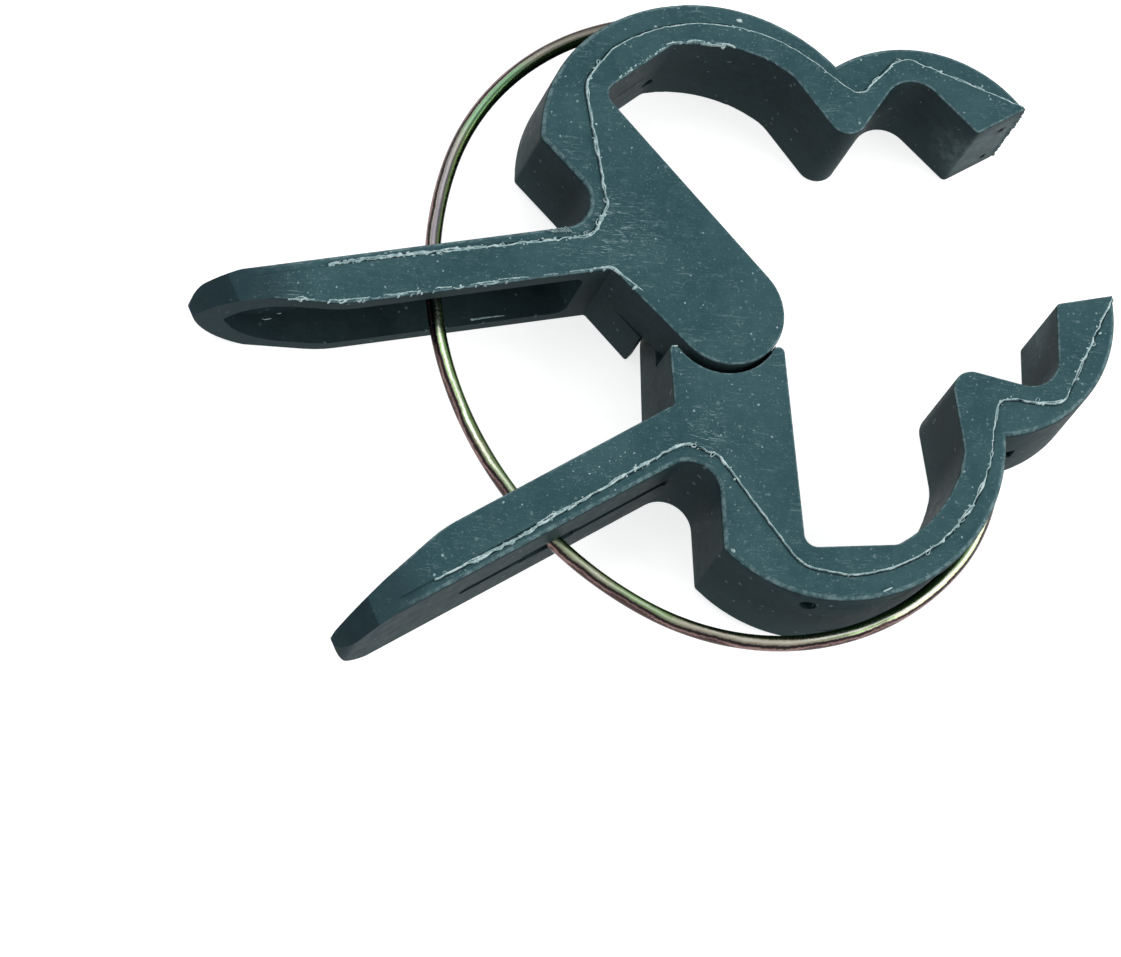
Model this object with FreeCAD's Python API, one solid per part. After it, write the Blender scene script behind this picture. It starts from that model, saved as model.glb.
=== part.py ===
import FreeCAD, Part
import math
import os

os.makedirs("parts", exist_ok=True)

# Small spring clip: two identical moulded jaws in a lap hinge, closed by one open wire ring.
# All lengths in millimetres, all angles in degrees.
# Origin: the hinge axis, on the flat face that the clip lies on.
# +X runs from the hinge to the jaw tips, +Y to the upper jaw, +Z up through the thickness.
# The clip is drawn held part-way open. Corner points are those of the upper jaw.
# The lower jaw is the same moulding turned over about the X axis.

# ---- thickness and lap hinge ----
HINGE = (0, 0)
FAR = 30.0
THICKNESS = 8.0
LAP_LEVEL = THICKNESS / 2
LAP_GAP = 0.10
KNUCKLE_R = 3.88
KNUCKLE_ARM_ANGLE = 19.0
SOCKET_R = 3.87
SOCKET_CENTRE = (-0.51, 0.46)
SOCKET_ARM_OFFSET = 3.62
SOCKET_ARM_ANGLE = 18.5
LIP_LEFT_OUTER = (-4.83, 1.15)
LIP_RIGHT_TURN = 50.0
LIP_LEFT_TURN = 166.0
ARM_FLUSH_SHARE = 0.32

# ---- handle ----
HANDLE_ANGLE = 9.75
HANDLE_ROOT_INNER = (-6.20, 5.00)
HANDLE_ROOT_OUTER = (-4.43, 8.23)
HANDLE_BEND = (-24.40, 8.13)
HANDLE_TIP_INNER = (-32.95, 11.60)
HANDLE_TIP_X = -33.10
FLANGE = 1.15
OUTER_WALL = 0.95
TROUGH_ROOT_X = -7.90
TROUGH_END_X = -31.10
BOW_START_X = -28.60
BOW_BULGE = (-31.10, 2.75)
BOW_TIP_X = -33.00
TROUGH_HALF_WIDTH = 2.85
TROUGH_TAPER_X = -27.30
TROUGH_TAPER_BULGE = (-29.60, 2.00)
TROUGH_CORNER_R = 0.80
SLOT_WIDTH = 1.25
SLOT_X = (-18.90, -14.60)
SEAM_GROOVE = 0.80
SEAM_GROOVE_X = (-23.50, -7.30)
EJECTOR_D = 0.80
EJECTOR_DEPTH = 0.60
EJECTOR_X = -23.30

# ---- hoop, small grip and cavity ----
HOOP_CENTRE = (3.12, 9.21)
HOOP_R = 12.48
VALLEY_ANGLE = 22.6
SHOULDER_CENTRE = (2.66, 11.03)
SHOULDER_R = 10.60
SHOULDER = (-7.05, 15.18)
CAVITY_CENTRE = (2.65, 8.10)
CAVITY_R = 10.66
CAVITY_TOP = (4.20, 18.65)
CAVITY_ROOF_ANGLE = 16.4
ROOF_LINE_X = (0.00, 3.10)
ROOF_LINE_WIDTH = 0.14
ROOF_LINE_DEPTH = 0.16
ROOF_POCKET = (4.00, 2.10)
ROOF_POCKET_D = 0.90
ROOF_POCKET_DEPTH = 0.30
BUMP_HEEL = (11.37, 14.06)
BUMP = (12.93, 8.15)
GRIP_CROWN = (19.37, 12.45)
TIP_INNER = (21.95, 6.45)
TIP_OUTER = (26.05, 7.10)
NOSE_TOP = (21.20, 13.18)

# ---- spring ring and its seat ----
WIRE_D = 1.05
RING_REACH = 18.43
RING_SIDE_R = 24.92
RING_CROWN_R = 17.49
RING_END_ANGLE = 16.5
GROOVE_DEPTH = 0.46
GROOVE_MOUTH = 6.7
GROOVE_FLOOR = 3.7
GROOVE_RUN_OUT_ANGLE = 88.0
GROOVE_END_ANGLE = 115.0
GROOVE_RUN_OUT_SHIFT = 3.2
GROOVE_OVERLAP_ANGLE = 0.8
SEAT_GAP = 0.06
SEAT_R = HOOP_R - GROOVE_DEPTH + WIRE_D / 2 + SEAT_GAP
END_HOLE_D = 1.25
END_HOLE_ANGLE = 14.0
NOSE_SLOT_X = (14.50, 16.30)
NOSE_SLOT_FLOOR = 12.40

# ---- edges and moulding marks ----
CAVITY_ROOT_R = 0.85
LIP_R = 0.40
HANDLE_TIP_R = 0.90
HOOP_MARK_ANGLE = 117.8
HOOP_MARK_D = 1.15
HOOP_MARK_DEPTH = 0.80
HOOP_MARK_Z = 1.80
TIP_MARK_D = 0.45
TIP_MARKS = [(24.67, 6.88, 5.80), (24.80, 6.90, 1.40)]
EDGE_R_INNER = 0.20
EDGE_R_OUTER = 0.42
PARTING_STEP = 0.15
CORNER_RADII = {
    0.10: [TIP_OUTER],
    0.15: [LIP_LEFT_OUTER],
    0.25: [HANDLE_ROOT_INNER],
    0.35: [TIP_INNER, SHOULDER],
    0.45: [HANDLE_TIP_INNER],
    1.00: [CAVITY_TOP],
    1.40: [BUMP],
    2.00: [HANDLE_ROOT_OUTER],
    2.10: [GRIP_CROWN],
    3.00: [BUMP_HEEL],
    10.0: [HANDLE_BEND],
}
# The parting line, from the jaw tip over the nose, hoop and arm to the handle end.
BAND_RIGHT_END = (26.60, 6.55)
BAND_BEND = (-22.00, 10.45)
BAND_LEFT_END = (-34.50, 12.60)
HOOP_BAND_CENTRE = (3.30, 8.30)
HOOP_BAND_R = 11.70
HOOP_BAND_START = 25.30
HOOP_BAND_END = 106.00
BAND_CORNERS = [
    ((19.20, 13.25), 1.60),
    ((15.20, 11.35), 0.90),
    ((-2.65, 18.00), 2.40),
    ((-4.75, 9.30), 1.00),
    ((-6.60, 7.60), 1.50),
]


def vec(point, z=0.0):
    return FreeCAD.Vector(point[0], point[1], z)


def toward(point, degrees, distance):
    a = math.radians(degrees)
    return (point[0] + distance * math.cos(a), point[1] + distance * math.sin(a))


def angle_from(centre, point):
    return math.degrees(math.atan2(point[1] - centre[1], point[0] - centre[0]))


def crossing(p, p_angle, q, q_angle):
    """Where the line through p at p_angle meets the line through q at q_angle."""
    u = toward((0, 0), p_angle, 1)
    w = toward((0, 0), q_angle, 1)
    det = u[0] * w[1] - u[1] * w[0]
    t = ((q[0] - p[0]) * w[1] - (q[1] - p[1]) * w[0]) / det
    return (p[0] + t * u[0], p[1] + t * u[1])


def outline(start, steps):
    """A flat face. A step is the end of a straight run, or a point on an arc and its end."""
    edges = []
    at = start
    for step in steps + [start]:
        if isinstance(step[0], tuple):
            through, end = step
            edges.append(Part.Arc(vec(at), vec(through), vec(end)).toShape())
        else:
            end = step
            edges.append(Part.LineSegment(vec(at), vec(end)).toShape())
        at = end
    return Part.Face(Part.Wire(edges))


def slab(face, low, high):
    solid = face.extrude(FreeCAD.Vector(0, 0, high - low))
    solid.translate(FreeCAD.Vector(0, 0, low))
    return solid


def upright_edges(solid, points):
    found = []
    for edge in solid.Edges:
        a = edge.Vertexes[0].Point
        b = edge.Vertexes[-1].Point
        upright = abs(a.x - b.x) < 1e-6 and abs(a.y - b.y) < 1e-6 and abs(a.z - b.z) > 0.01
        if upright and any(math.hypot(a.x - p[0], a.y - p[1]) < 1e-3 for p in points):
            found.append(edge)
    return found


def round_uprights(solid, corners):
    for radius, points in corners.items():
        edges = upright_edges(solid, points)
        if edges:
            solid = solid.makeFillet(radius, edges)
    return solid


# ---- points that follow from the dimensions above ----
VALLEY = toward(HOOP_CENTRE, VALLEY_ANGLE, HOOP_R)
HOOP_JOIN_ANGLE = angle_from(HOOP_CENTRE, SHOULDER_CENTRE)
HOOP_JOIN = toward(HOOP_CENTRE, HOOP_JOIN_ANGLE, HOOP_R)


def handle_outer(x):
    """Point of the handle's outer edge at x."""
    rise = math.tan(math.radians(HANDLE_ANGLE)) * (HANDLE_ROOT_OUTER[0] - x)
    return (x, HANDLE_ROOT_OUTER[1] + rise)


def shared_run():
    """The outline that both layers share, from the cavity top round to the handle root."""
    hoop_mid = toward(HOOP_CENTRE, (VALLEY_ANGLE + HOOP_JOIN_ANGLE) / 2, HOOP_R)
    shoulder_angle = angle_from(SHOULDER_CENTRE, SHOULDER)
    shoulder_mid = toward(SHOULDER_CENTRE, (HOOP_JOIN_ANGLE + shoulder_angle) / 2, SHOULDER_R)
    cavity_angle = (angle_from(CAVITY_CENTRE, CAVITY_TOP) + angle_from(CAVITY_CENTRE, BUMP_HEEL)) / 2
    return [
        (toward(CAVITY_CENTRE, cavity_angle, CAVITY_R), BUMP_HEEL),
        BUMP,
        GRIP_CROWN,
        TIP_INNER,
        TIP_OUTER,
        (NOSE_TOP, VALLEY),
        (hoop_mid, HOOP_JOIN),
        (shoulder_mid, SHOULDER),
        HANDLE_ROOT_OUTER,
        handle_outer(HANDLE_TIP_X),
        HANDLE_TIP_INNER,
        HANDLE_BEND,
        HANDLE_ROOT_INNER,
    ]


def cavity_root(offset, normal_angle):
    """Where the cavity roof meets an arm edge that stands off the hinge axis by offset."""
    on_arm = toward(HINGE, normal_angle, offset)
    return crossing(CAVITY_TOP, CAVITY_ROOF_ANGLE, on_arm, normal_angle + 90)


def part_way(p, q, share):
    return (p[0] + (q[0] - p[0]) * share, p[1] + (q[1] - p[1]) * share)


def knuckle_plan():
    """Face and extra corner radii of the layer whose arm ends in the round knuckle."""
    flush_end = part_way(HANDLE_ROOT_INNER, LIP_LEFT_OUTER, ARM_FLUSH_SHARE)
    reach = math.hypot(flush_end[0], flush_end[1])
    left_turn = angle_from(HINGE, flush_end) + math.degrees(math.acos(KNUCKLE_R / reach))
    left = toward(HINGE, left_turn, KNUCKLE_R)
    right = toward(HINGE, KNUCKLE_ARM_ANGLE, KNUCKLE_R)
    bottom = toward(HINGE, (left_turn + KNUCKLE_ARM_ANGLE + 360) / 2, KNUCKLE_R)
    root = cavity_root(KNUCKLE_R, KNUCKLE_ARM_ANGLE)
    face = outline(CAVITY_TOP, shared_run() + [flush_end, left, (bottom, right), root])
    return face, {CAVITY_ROOT_R: [root]}


def socket_plan():
    """Face and extra corner radii of the layer whose arm ends in the hollow socket."""
    root = cavity_root(SOCKET_ARM_OFFSET, SOCKET_ARM_ANGLE)
    left = toward(SOCKET_CENTRE, LIP_LEFT_TURN, SOCKET_R)
    right = toward(SOCKET_CENTRE, LIP_RIGHT_TURN, SOCKET_R)
    hollow = toward(SOCKET_CENTRE, (LIP_LEFT_TURN + LIP_RIGHT_TURN) / 2, SOCKET_R)
    on_arm = toward(HINGE, SOCKET_ARM_ANGLE, SOCKET_ARM_OFFSET)
    lip = crossing(on_arm, SOCKET_ARM_ANGLE + 90, right, 0)
    face = outline(CAVITY_TOP, shared_run() + [LIP_LEFT_OUTER, left, (hollow, right), lip, root])
    return face, {CAVITY_ROOT_R: [root], LIP_R: [lip]}


def layer(plan, low, high):
    """One layer of the jaw, with the upright corners rounded."""
    face, extra = plan
    solid = round_uprights(slab(face, low, high), CORNER_RADII)
    solid = round_uprights(solid, {HANDLE_TIP_R: [handle_outer(HANDLE_TIP_X)]})
    return round_uprights(solid, extra)


def rim(solid, level, near=None):
    """The edges that lie flat at a level, or only those that touch the solid near."""
    found = []
    for edge in solid.Edges:
        box = edge.BoundBox
        flat = abs(box.ZMin - level) < 1e-6 and abs(box.ZMax - level) < 1e-6
        if flat and (near is None or edge.distToShape(near)[0] < 1e-6):
            found.append(edge)
    return found


def outer_band():
    """The region outside the parting line, where both faces lie one step lower."""
    sweep = (HOOP_BAND_START + HOOP_BAND_END) / 2
    arc_mid = toward(HOOP_BAND_CENTRE, sweep, HOOP_BAND_R)
    arc_start = toward(HOOP_BAND_CENTRE, HOOP_BAND_START, HOOP_BAND_R)
    arc_end = toward(HOOP_BAND_CENTRE, HOOP_BAND_END, HOOP_BAND_R)
    corners = [point for point, radius in BAND_CORNERS]
    steps = [corners[0], corners[1], arc_start, (arc_mid, arc_end)] + corners[2:]
    steps += [BAND_BEND, BAND_LEFT_END, (BAND_LEFT_END[0], FAR), (BAND_RIGHT_END[0], FAR)]
    solid = slab(outline(BAND_RIGHT_END, steps), -1, THICKNESS + 1)
    for point, radius in BAND_CORNERS:
        solid = round_uprights(solid, {radius: [point]})
    return solid


def stepped(plan, low, high, face_level, band):
    """One layer with its outer face stepped down outside the parting line and its rim rounded."""
    up = face_level > LAP_LEVEL
    step = -PARTING_STEP if up else PARTING_STEP
    full = layer(plan, low, high)
    full = full.makeFillet(EDGE_R_INNER, rim(full, face_level))
    if up:
        lowered = layer(plan, low, high + step)
    else:
        lowered = layer(plan, low + step, high)
    lowered = lowered.makeFillet(EDGE_R_OUTER, rim(lowered, face_level + step, band))
    return full.cut(band).fuse(lowered.common(band)).removeSplitter()


def blank():
    """The jaw before its hollows are cut, with the lap gap between the two layers."""
    band = outer_band()
    half = LAP_GAP / 2
    top = stepped(knuckle_plan(), LAP_LEVEL + half, THICKNESS, THICKNESS, band)
    bottom = stepped(socket_plan(), 0, LAP_LEVEL - half, 0, band)
    knuckle_core = layer(knuckle_plan(), LAP_LEVEL - half, LAP_LEVEL + half)
    socket_core = layer(socket_plan(), LAP_LEVEL - half, LAP_LEVEL + half)
    return top.fuse([bottom, knuckle_core.common(socket_core)]).removeSplitter()


def plan_prism(points, low_y, high_y):
    """A prism along Y. Its outline in the XZ plane is given by steps from the first point."""
    face = outline(points[0], points[1:])
    face.rotate(FreeCAD.Vector(0, 0, 0), FreeCAD.Vector(1, 0, 0), 90)
    solid = face.extrude(FreeCAD.Vector(0, high_y - low_y, 0))
    solid.translate(FreeCAD.Vector(0, low_y, 0))
    return solid


def below_outer(depth, x_left, x_right, drop):
    """XY corners of a strip from depth below the handle's outer edge to drop below that."""
    lean = math.radians(HANDLE_ANGLE)
    shift = depth / math.cos(lean)
    left = handle_outer(x_left)
    right = handle_outer(x_right)
    return [
        (left[0], left[1] - shift),
        (right[0], right[1] - shift),
        (right[0], right[1] - shift - drop),
        (left[0], left[1] - shift - drop),
    ]


def bow_end():
    """What the pointed handle end leaves outside it, on both faces."""
    tip = (BOW_TIP_X, LAP_LEVEL)
    far = BOW_TIP_X - 2
    upper = [
        (BOW_START_X, THICKNESS),
        ((BOW_BULGE[0], LAP_LEVEL + BOW_BULGE[1]), tip),
        (far, LAP_LEVEL),
        (far, THICKNESS + 1),
        (BOW_START_X, THICKNESS + 1),
    ]
    lower = [
        (BOW_START_X, 0),
        ((BOW_BULGE[0], LAP_LEVEL - BOW_BULGE[1]), tip),
        (far, LAP_LEVEL),
        (far, -1),
        (BOW_START_X, -1),
    ]
    return plan_prism(upper, 0, FAR).fuse(plan_prism(lower, 0, FAR))


def trough():
    """The hollow of the handle, open toward the other handle."""
    a = (TROUGH_ROOT_X, LAP_LEVEL - TROUGH_HALF_WIDTH)
    b = (TROUGH_TAPER_X, LAP_LEVEL - TROUGH_HALF_WIDTH)
    tip = (TROUGH_END_X, LAP_LEVEL)
    c = (TROUGH_TAPER_X, LAP_LEVEL + TROUGH_HALF_WIDTH)
    d = (TROUGH_ROOT_X, LAP_LEVEL + TROUGH_HALF_WIDTH)
    low_bulge = (TROUGH_TAPER_BULGE[0], LAP_LEVEL - TROUGH_TAPER_BULGE[1])
    high_bulge = (TROUGH_TAPER_BULGE[0], LAP_LEVEL + TROUGH_TAPER_BULGE[1])
    solid = plan_prism([a, b, (low_bulge, tip), (high_bulge, c), d], 0, FAR)
    corners = []
    for edge in solid.Edges:
        box = edge.BoundBox
        if box.XLength < 1e-6 and box.ZLength < 1e-6 and abs(box.XMin - TROUGH_ROOT_X) < 1e-6:
            corners.append(edge)
    solid = solid.makeFillet(TROUGH_CORNER_R, corners)
    strip = below_outer(OUTER_WALL, TROUGH_END_X - 1, TROUGH_ROOT_X + 1, FAR)
    return solid.common(slab(outline(strip[0], strip[1:]), 0, THICKNESS))


def handle_slots():
    """The wire slot through the handle's outer wall and the shallow seam groove beside it."""
    slot = below_outer(-1, SLOT_X[0], SLOT_X[1], OUTER_WALL + 2)
    seam = below_outer(-1, SEAM_GROOVE_X[0], SEAM_GROOVE_X[1], SEAM_GROOVE + 1)
    cuts = []
    for strip, width in ((slot, SLOT_WIDTH), (seam, SEAM_GROOVE)):
        face = outline(strip[0], strip[1:])
        cuts.append(slab(face, LAP_LEVEL - width / 2, LAP_LEVEL + width / 2))
    return cuts


def turned(face, start, end, centre=HOOP_CENTRE):
    """Revolve a face, drawn in the XZ plane from the axis, about a centre between two angles."""
    origin = vec(centre)
    up = FreeCAD.Vector(0, 0, 1)
    face = face.copy()
    face.translate(origin)
    face.rotate(origin, up, start)
    return face.revolve(origin, up, end - start)


def groove_section(hoop_r):
    """The section of the wire groove where the hoop's surface is at hoop_r from the axis."""
    corners = [
        (hoop_r - GROOVE_DEPTH, LAP_LEVEL - GROOVE_FLOOR / 2),
        (hoop_r - GROOVE_DEPTH, LAP_LEVEL + GROOVE_FLOOR / 2),
        (hoop_r, LAP_LEVEL + GROOVE_MOUTH / 2),
        (hoop_r + 1, LAP_LEVEL + GROOVE_MOUTH / 2),
        (hoop_r + 1, LAP_LEVEL - GROOVE_MOUTH / 2),
        (hoop_r, LAP_LEVEL - GROOVE_MOUTH / 2),
    ]
    return Part.Face(Part.makePolygon([FreeCAD.Vector(r, 0, z) for r, z in corners + corners[:1]]))


def wire_seat():
    """The groove round the hoop, the hole for the wire end, and the slot that opens it."""
    groove_end = GROOVE_RUN_OUT_ANGLE + GROOVE_OVERLAP_ANGLE
    groove = turned(groove_section(HOOP_R), VALLEY_ANGLE, groove_end)
    run_out_centre = toward(HOOP_CENTRE, GROOVE_END_ANGLE, GROOVE_RUN_OUT_SHIFT)
    start = angle_from(run_out_centre, toward(HOOP_CENTRE, GROOVE_RUN_OUT_ANGLE, HOOP_R))
    run_out_r = HOOP_R - GROOVE_RUN_OUT_SHIFT + GROOVE_DEPTH
    run_out = turned(groove_section(run_out_r), start, GROOVE_END_ANGLE, run_out_centre)
    centre = FreeCAD.Vector(SEAT_R, 0, LAP_LEVEL)
    circle = Part.makeCircle(END_HOLE_D / 2, centre, FreeCAD.Vector(0, 1, 0))
    hole = turned(Part.Face(Part.Wire(circle)), END_HOLE_ANGLE, VALLEY_ANGLE + 4)
    floor = NOSE_SLOT_FLOOR
    box = Part.makeBox(NOSE_SLOT_X[1] - NOSE_SLOT_X[0], FAR - floor, SLOT_WIDTH)
    box.translate(FreeCAD.Vector(NOSE_SLOT_X[0], floor, LAP_LEVEL - SLOT_WIDTH / 2))
    return [groove, run_out, hole, box]


def pin_mark(point, aim, diameter, depth, z):
    """A blind round mark, entered at a point of the wall, bored along the direction aim."""
    start = vec(toward(point, aim, -1), z)
    return Part.makeCylinder(diameter / 2, depth + 1, start, vec(toward((0, 0), aim, 1)))


def marks():
    hoop_mark = toward(HOOP_CENTRE, HOOP_MARK_ANGLE, HOOP_R)
    cuts = [pin_mark(hoop_mark, HOOP_MARK_ANGLE + 180, HOOP_MARK_D, HOOP_MARK_DEPTH, HOOP_MARK_Z)]
    ejector = handle_outer(EJECTOR_X)
    cuts.append(pin_mark(ejector, -90 - HANDLE_ANGLE, EJECTOR_D, EJECTOR_DEPTH, LAP_LEVEL))
    for x, y, z in TIP_MARKS:
        cuts.append(pin_mark((x, y), 90, TIP_MARK_D, TIP_MARK_D / 2, z))
    return cuts


def roof_marks():
    """The thin line at the lap level on the cavity roof, and the shallow pocket that ends it."""
    def on_roof(x, rise):
        return (x, CAVITY_TOP[1] + (x - CAVITY_TOP[0]) * math.tan(math.radians(CAVITY_ROOF_ANGLE)) + rise)

    left, right = ROOF_LINE_X
    depth = ROOF_LINE_DEPTH
    strip = outline(on_roof(left, -1), [on_roof(right, -1), on_roof(right, depth), on_roof(left, depth)])
    line = slab(strip, LAP_LEVEL - ROOF_LINE_WIDTH / 2, LAP_LEVEL + ROOF_LINE_WIDTH / 2)
    x, z = ROOF_POCKET
    pocket = pin_mark(on_roof(x, 0), 90 + CAVITY_ROOF_ANGLE, ROOF_POCKET_D, ROOF_POCKET_DEPTH, z)
    return [line, pocket]


def upper_jaw():
    jaw = blank().cut(bow_end())
    jaw = jaw.cut([trough()] + handle_slots() + wire_seat() + marks() + roof_marks())
    return jaw.Solids[0]


def lower_jaw(upper):
    """The same moulding turned half a turn about the X axis through the middle of the thickness."""
    jaw = upper.copy()
    jaw.rotate(FreeCAD.Vector(0, 0, LAP_LEVEL), FreeCAD.Vector(1, 0, 0), 180)
    return jaw


def centre_between(c1, r1, c2, r2):
    """The lower of the two points at distance r1 from c1 and r2 from c2."""
    span = math.hypot(c2[0] - c1[0], c2[1] - c1[1])
    turn = math.degrees(math.acos((r1 * r1 + span * span - r2 * r2) / (2 * r1 * span)))
    options = [toward(c1, angle_from(c1, c2) + side * turn, r1) for side in (1, -1)]
    return min(options, key=lambda point: point[1])


def arc_edge(centre, radius, start, end):
    points = [toward(centre, angle, radius) for angle in (start, (start + end) / 2, end)]
    return Part.Arc(*[vec(point, LAP_LEVEL) for point in points]).toShape()


def spring_ring():
    """Open ring of round wire: seat arc, crown arc, side arc, crown arc, seat arc."""
    side_centre = (RING_SIDE_R - RING_REACH, 0)
    crown_centre = centre_between(
        side_centre, RING_SIDE_R - RING_CROWN_R, HOOP_CENTRE, RING_CROWN_R - SEAT_R)
    side_turn = angle_from(side_centre, crown_centre)
    seat_turn = angle_from(crown_centre, HOOP_CENTRE)
    lower_crown = (crown_centre[0], -crown_centre[1])
    lower_hoop = (HOOP_CENTRE[0], -HOOP_CENTRE[1])
    path = Part.Wire([
        arc_edge(HOOP_CENTRE, SEAT_R, RING_END_ANGLE, seat_turn),
        arc_edge(crown_centre, RING_CROWN_R, seat_turn, side_turn),
        arc_edge(side_centre, RING_SIDE_R, side_turn, 360 - side_turn),
        arc_edge(lower_crown, RING_CROWN_R, -side_turn, -seat_turn),
        arc_edge(lower_hoop, SEAT_R, -seat_turn, -RING_END_ANGLE),
    ])
    start = vec(toward(HOOP_CENTRE, RING_END_ANGLE, SEAT_R), LAP_LEVEL)
    along = vec(toward((0, 0), RING_END_ANGLE + 90, 1))
    circle = Part.makeCircle(WIRE_D / 2, start, along)
    ring = path.makePipe(Part.Face(Part.Wire(circle)))
    return ring


jaw = upper_jaw()
jaw.exportStep("parts/upper_jaw.step")
lower_jaw(jaw).exportStep("parts/lower_jaw.step")
spring_ring().exportStep("parts/spring_ring.step")
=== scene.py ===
import math
import random

import bmesh
import bpy
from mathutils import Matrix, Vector


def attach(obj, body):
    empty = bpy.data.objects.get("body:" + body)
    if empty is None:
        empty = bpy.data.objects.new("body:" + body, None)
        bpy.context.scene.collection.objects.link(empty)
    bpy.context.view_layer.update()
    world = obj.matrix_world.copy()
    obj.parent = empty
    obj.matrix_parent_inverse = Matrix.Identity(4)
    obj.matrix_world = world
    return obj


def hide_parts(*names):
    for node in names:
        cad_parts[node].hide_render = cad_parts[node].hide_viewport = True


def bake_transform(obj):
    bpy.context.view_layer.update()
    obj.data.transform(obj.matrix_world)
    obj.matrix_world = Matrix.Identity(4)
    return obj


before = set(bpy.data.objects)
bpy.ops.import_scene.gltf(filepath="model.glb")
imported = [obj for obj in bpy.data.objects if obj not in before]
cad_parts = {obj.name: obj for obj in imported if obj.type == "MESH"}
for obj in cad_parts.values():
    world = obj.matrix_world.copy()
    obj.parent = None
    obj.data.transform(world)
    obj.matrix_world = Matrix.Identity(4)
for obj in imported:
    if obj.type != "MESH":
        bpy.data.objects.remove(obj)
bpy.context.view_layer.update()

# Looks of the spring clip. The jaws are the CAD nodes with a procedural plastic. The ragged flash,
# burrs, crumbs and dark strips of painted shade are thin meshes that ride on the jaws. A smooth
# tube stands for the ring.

MM = 0.001

# ---- dimensions shared with the CAD model, in millimetres ----
THICKNESS = 8.0
MID = THICKNESS / 2
PARTING_STEP = 0.15
FLANGE = 1.15
HOOP_CENTRE = (3.12, 9.21)
CAVITY_TOP = (4.20, 18.65)
CAVITY_ROOF_SLOPE = 0.294
SEAT_R = 12.605
WIRE_R = 0.522
WIRE_END_R = 0.86 * WIRE_R
RING_MIDDLE = (4.0, 0.0, MID)
RING_STEP = 0.45                                        # spacing of the sections of the wire
RING_END_ANGLE = 16.5
RING_SIDE_CENTRE = (6.49, 0.0)
RING_SIDE_R = 24.92
RING_CROWN_CENTRE = (0.8783, 4.8697)
RING_CROWN_R = 17.49

# ---- lines that carry flash, as (point, corner radius) of the upper jaw ----
PARTING_HOOP = ((3.30, 8.30), 11.70, 25.3, 106.0)       # centre, radius, first and last angle
PARTING_BEFORE_HOOP = [((25.88, 7.23), 0.0), ((19.20, 13.25), 1.6), ((15.20, 11.35), 0.9)]
PARTING_AFTER_HOOP = [
    ((-2.65, 18.00), 2.4),
    ((-4.75, 9.30), 1.0),
    ((-6.60, 7.60), 1.5),
    ((-18.40, 9.92), 3.0),
    ((-20.60, 10.42), 1.2),
    ((-23.00, 10.78), 1.2),
    ((-26.60, 11.30), 0.0),
]
FLASH_END_X = {"upper": -24.5, "lower": -26.4}
TIP_X = 24.6                                            # no loose strands beyond this X
HANDLE_INNER_EDGE = [((-6.90, 5.27), 0.0), ((-24.20, 8.30), 9.0), ((-28.00, 9.60), 0.0)]
HANDLE_ROOT_EDGE = [((-7.6, 5.45), 0.0), ((-6.30, 5.12), 0.5), ((-5.00, 2.95), 0.0)]
HANDLE_FACE_LINE = [((-7.5, 6.55), 0.0), ((-22.0, 9.30), 0.0)]
CAVITY_EDGE = ((2.65, 8.10), 10.66, 84.0, 58.0)         # centre, radius, first and last angle
TROUGH_FLAKES = [
    [((-27.85, 11.35), 0), ((-27.70, 11.08), 0.3), ((-27.45, 10.92), 0.3), ((-26.95, 10.86), 0)],
    [((-26.65, 11.20), 0), ((-26.30, 11.02), 0.3), ((-25.95, 11.12), 0.3), ((-25.75, 11.38), 0)],
    [((-14.20, 6.72), 0), ((-13.00, 6.52), 2.0), ((-11.80, 6.28), 0)],
]

# ---- how ragged the flash is, as (X where a stretch ends, amount), from the jaw tip back ----
PARTING_RAGGED = {
    "upper": [(15.5, 0.25), (-1.0, 0.07), (-4.6, 0.40), (-7.4, 0.85), (-25.5, 1.00)],
    "lower": [
        (15.5, 0.50),
        (13.0, 0.25),
        (5.6, 0.50),
        (-4.6, 0.06),
        (-7.4, 0.55),
        (-23.5, 0.70),
        (-30.0, 0.25),
    ],
}
BACK_RAGGED = [(-30.0, 0.35)]
INNER_EDGE_RAGGED = [(-13.5, 0.12), (-19.5, 0.45), (-24.5, 0.8), (-31.0, 0.15)]
HEAVY_BURRS = (-24.5, -14.0)
CAVITY_RAGGED = [(2.0, 0.45), (0.0, 0.3)]
ROOT_RAGGED = [(-9.0, 0.7)]
# a dark plug in the narrow end of the knuckle's gap: painted shade
GAP_SHADE = ((0.0, 0.0), 3.945, -57.0, -67.5)            # centre, radius, first and last angle
GAP_SHADE_FLOOR = 6.6
TORN_CORNER = (25.90, 6.98)                             # outer corner of the upper jaw's end face
TORN_TOP, TORN_DROP = 7.1, 6.7
LINE_STEP = 0.06                                        # spacing of the points of a ragged line
PROUD = 0.045                                           # how far flash stands above a jaw's face
SUNK = 0.01                                             # how deep it starts in the surface
FLASH_WIDTH = 0.105
RIDGE_PROFILE = [(-0.5, 0.0), (-0.46, 0.60), (-0.20, 0.96), (0.20, 1.0), (0.45, 0.62), (0.5, 0.0)]

# ---- zones of the materials, as (centre, full within, none beyond), in millimetres ----
KNUCKLE_ZONE = ((0.0, 0.0, 6.0), 4.15, 4.5)
CHALKY_ENDS = [((24.3, 6.8, 4.0), 2.2, 4.4), ((24.3, -6.8, 4.0), 2.2, 4.4)]
# dark spots on the upper tip's end face: painted shade of two small pits
END_PIT_SHADE = [((24.67, 6.88, 5.8), 0.25, 0.62), ((24.80, 6.90, 1.4), 0.22, 0.50)]
SCUFFS = [
    ((-5.2, 7.6, 8.0), 1.4, 4.6),
    ((-4.6, -7.2, 8.0), 0.4, 2.4),
    ((-28.6, 9.7, 7.4), 0.8, 2.6),
    ((2.4, -4.2, 8.0), 0.4, 2.0),
]
GREEN_WIRE = ((-7.6, 20.0, 4.0), 2.0, 5.0)
VIOLET_WIRE = ((-15.5, 12.5, 4.0), 4.0, 8.0)

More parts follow.
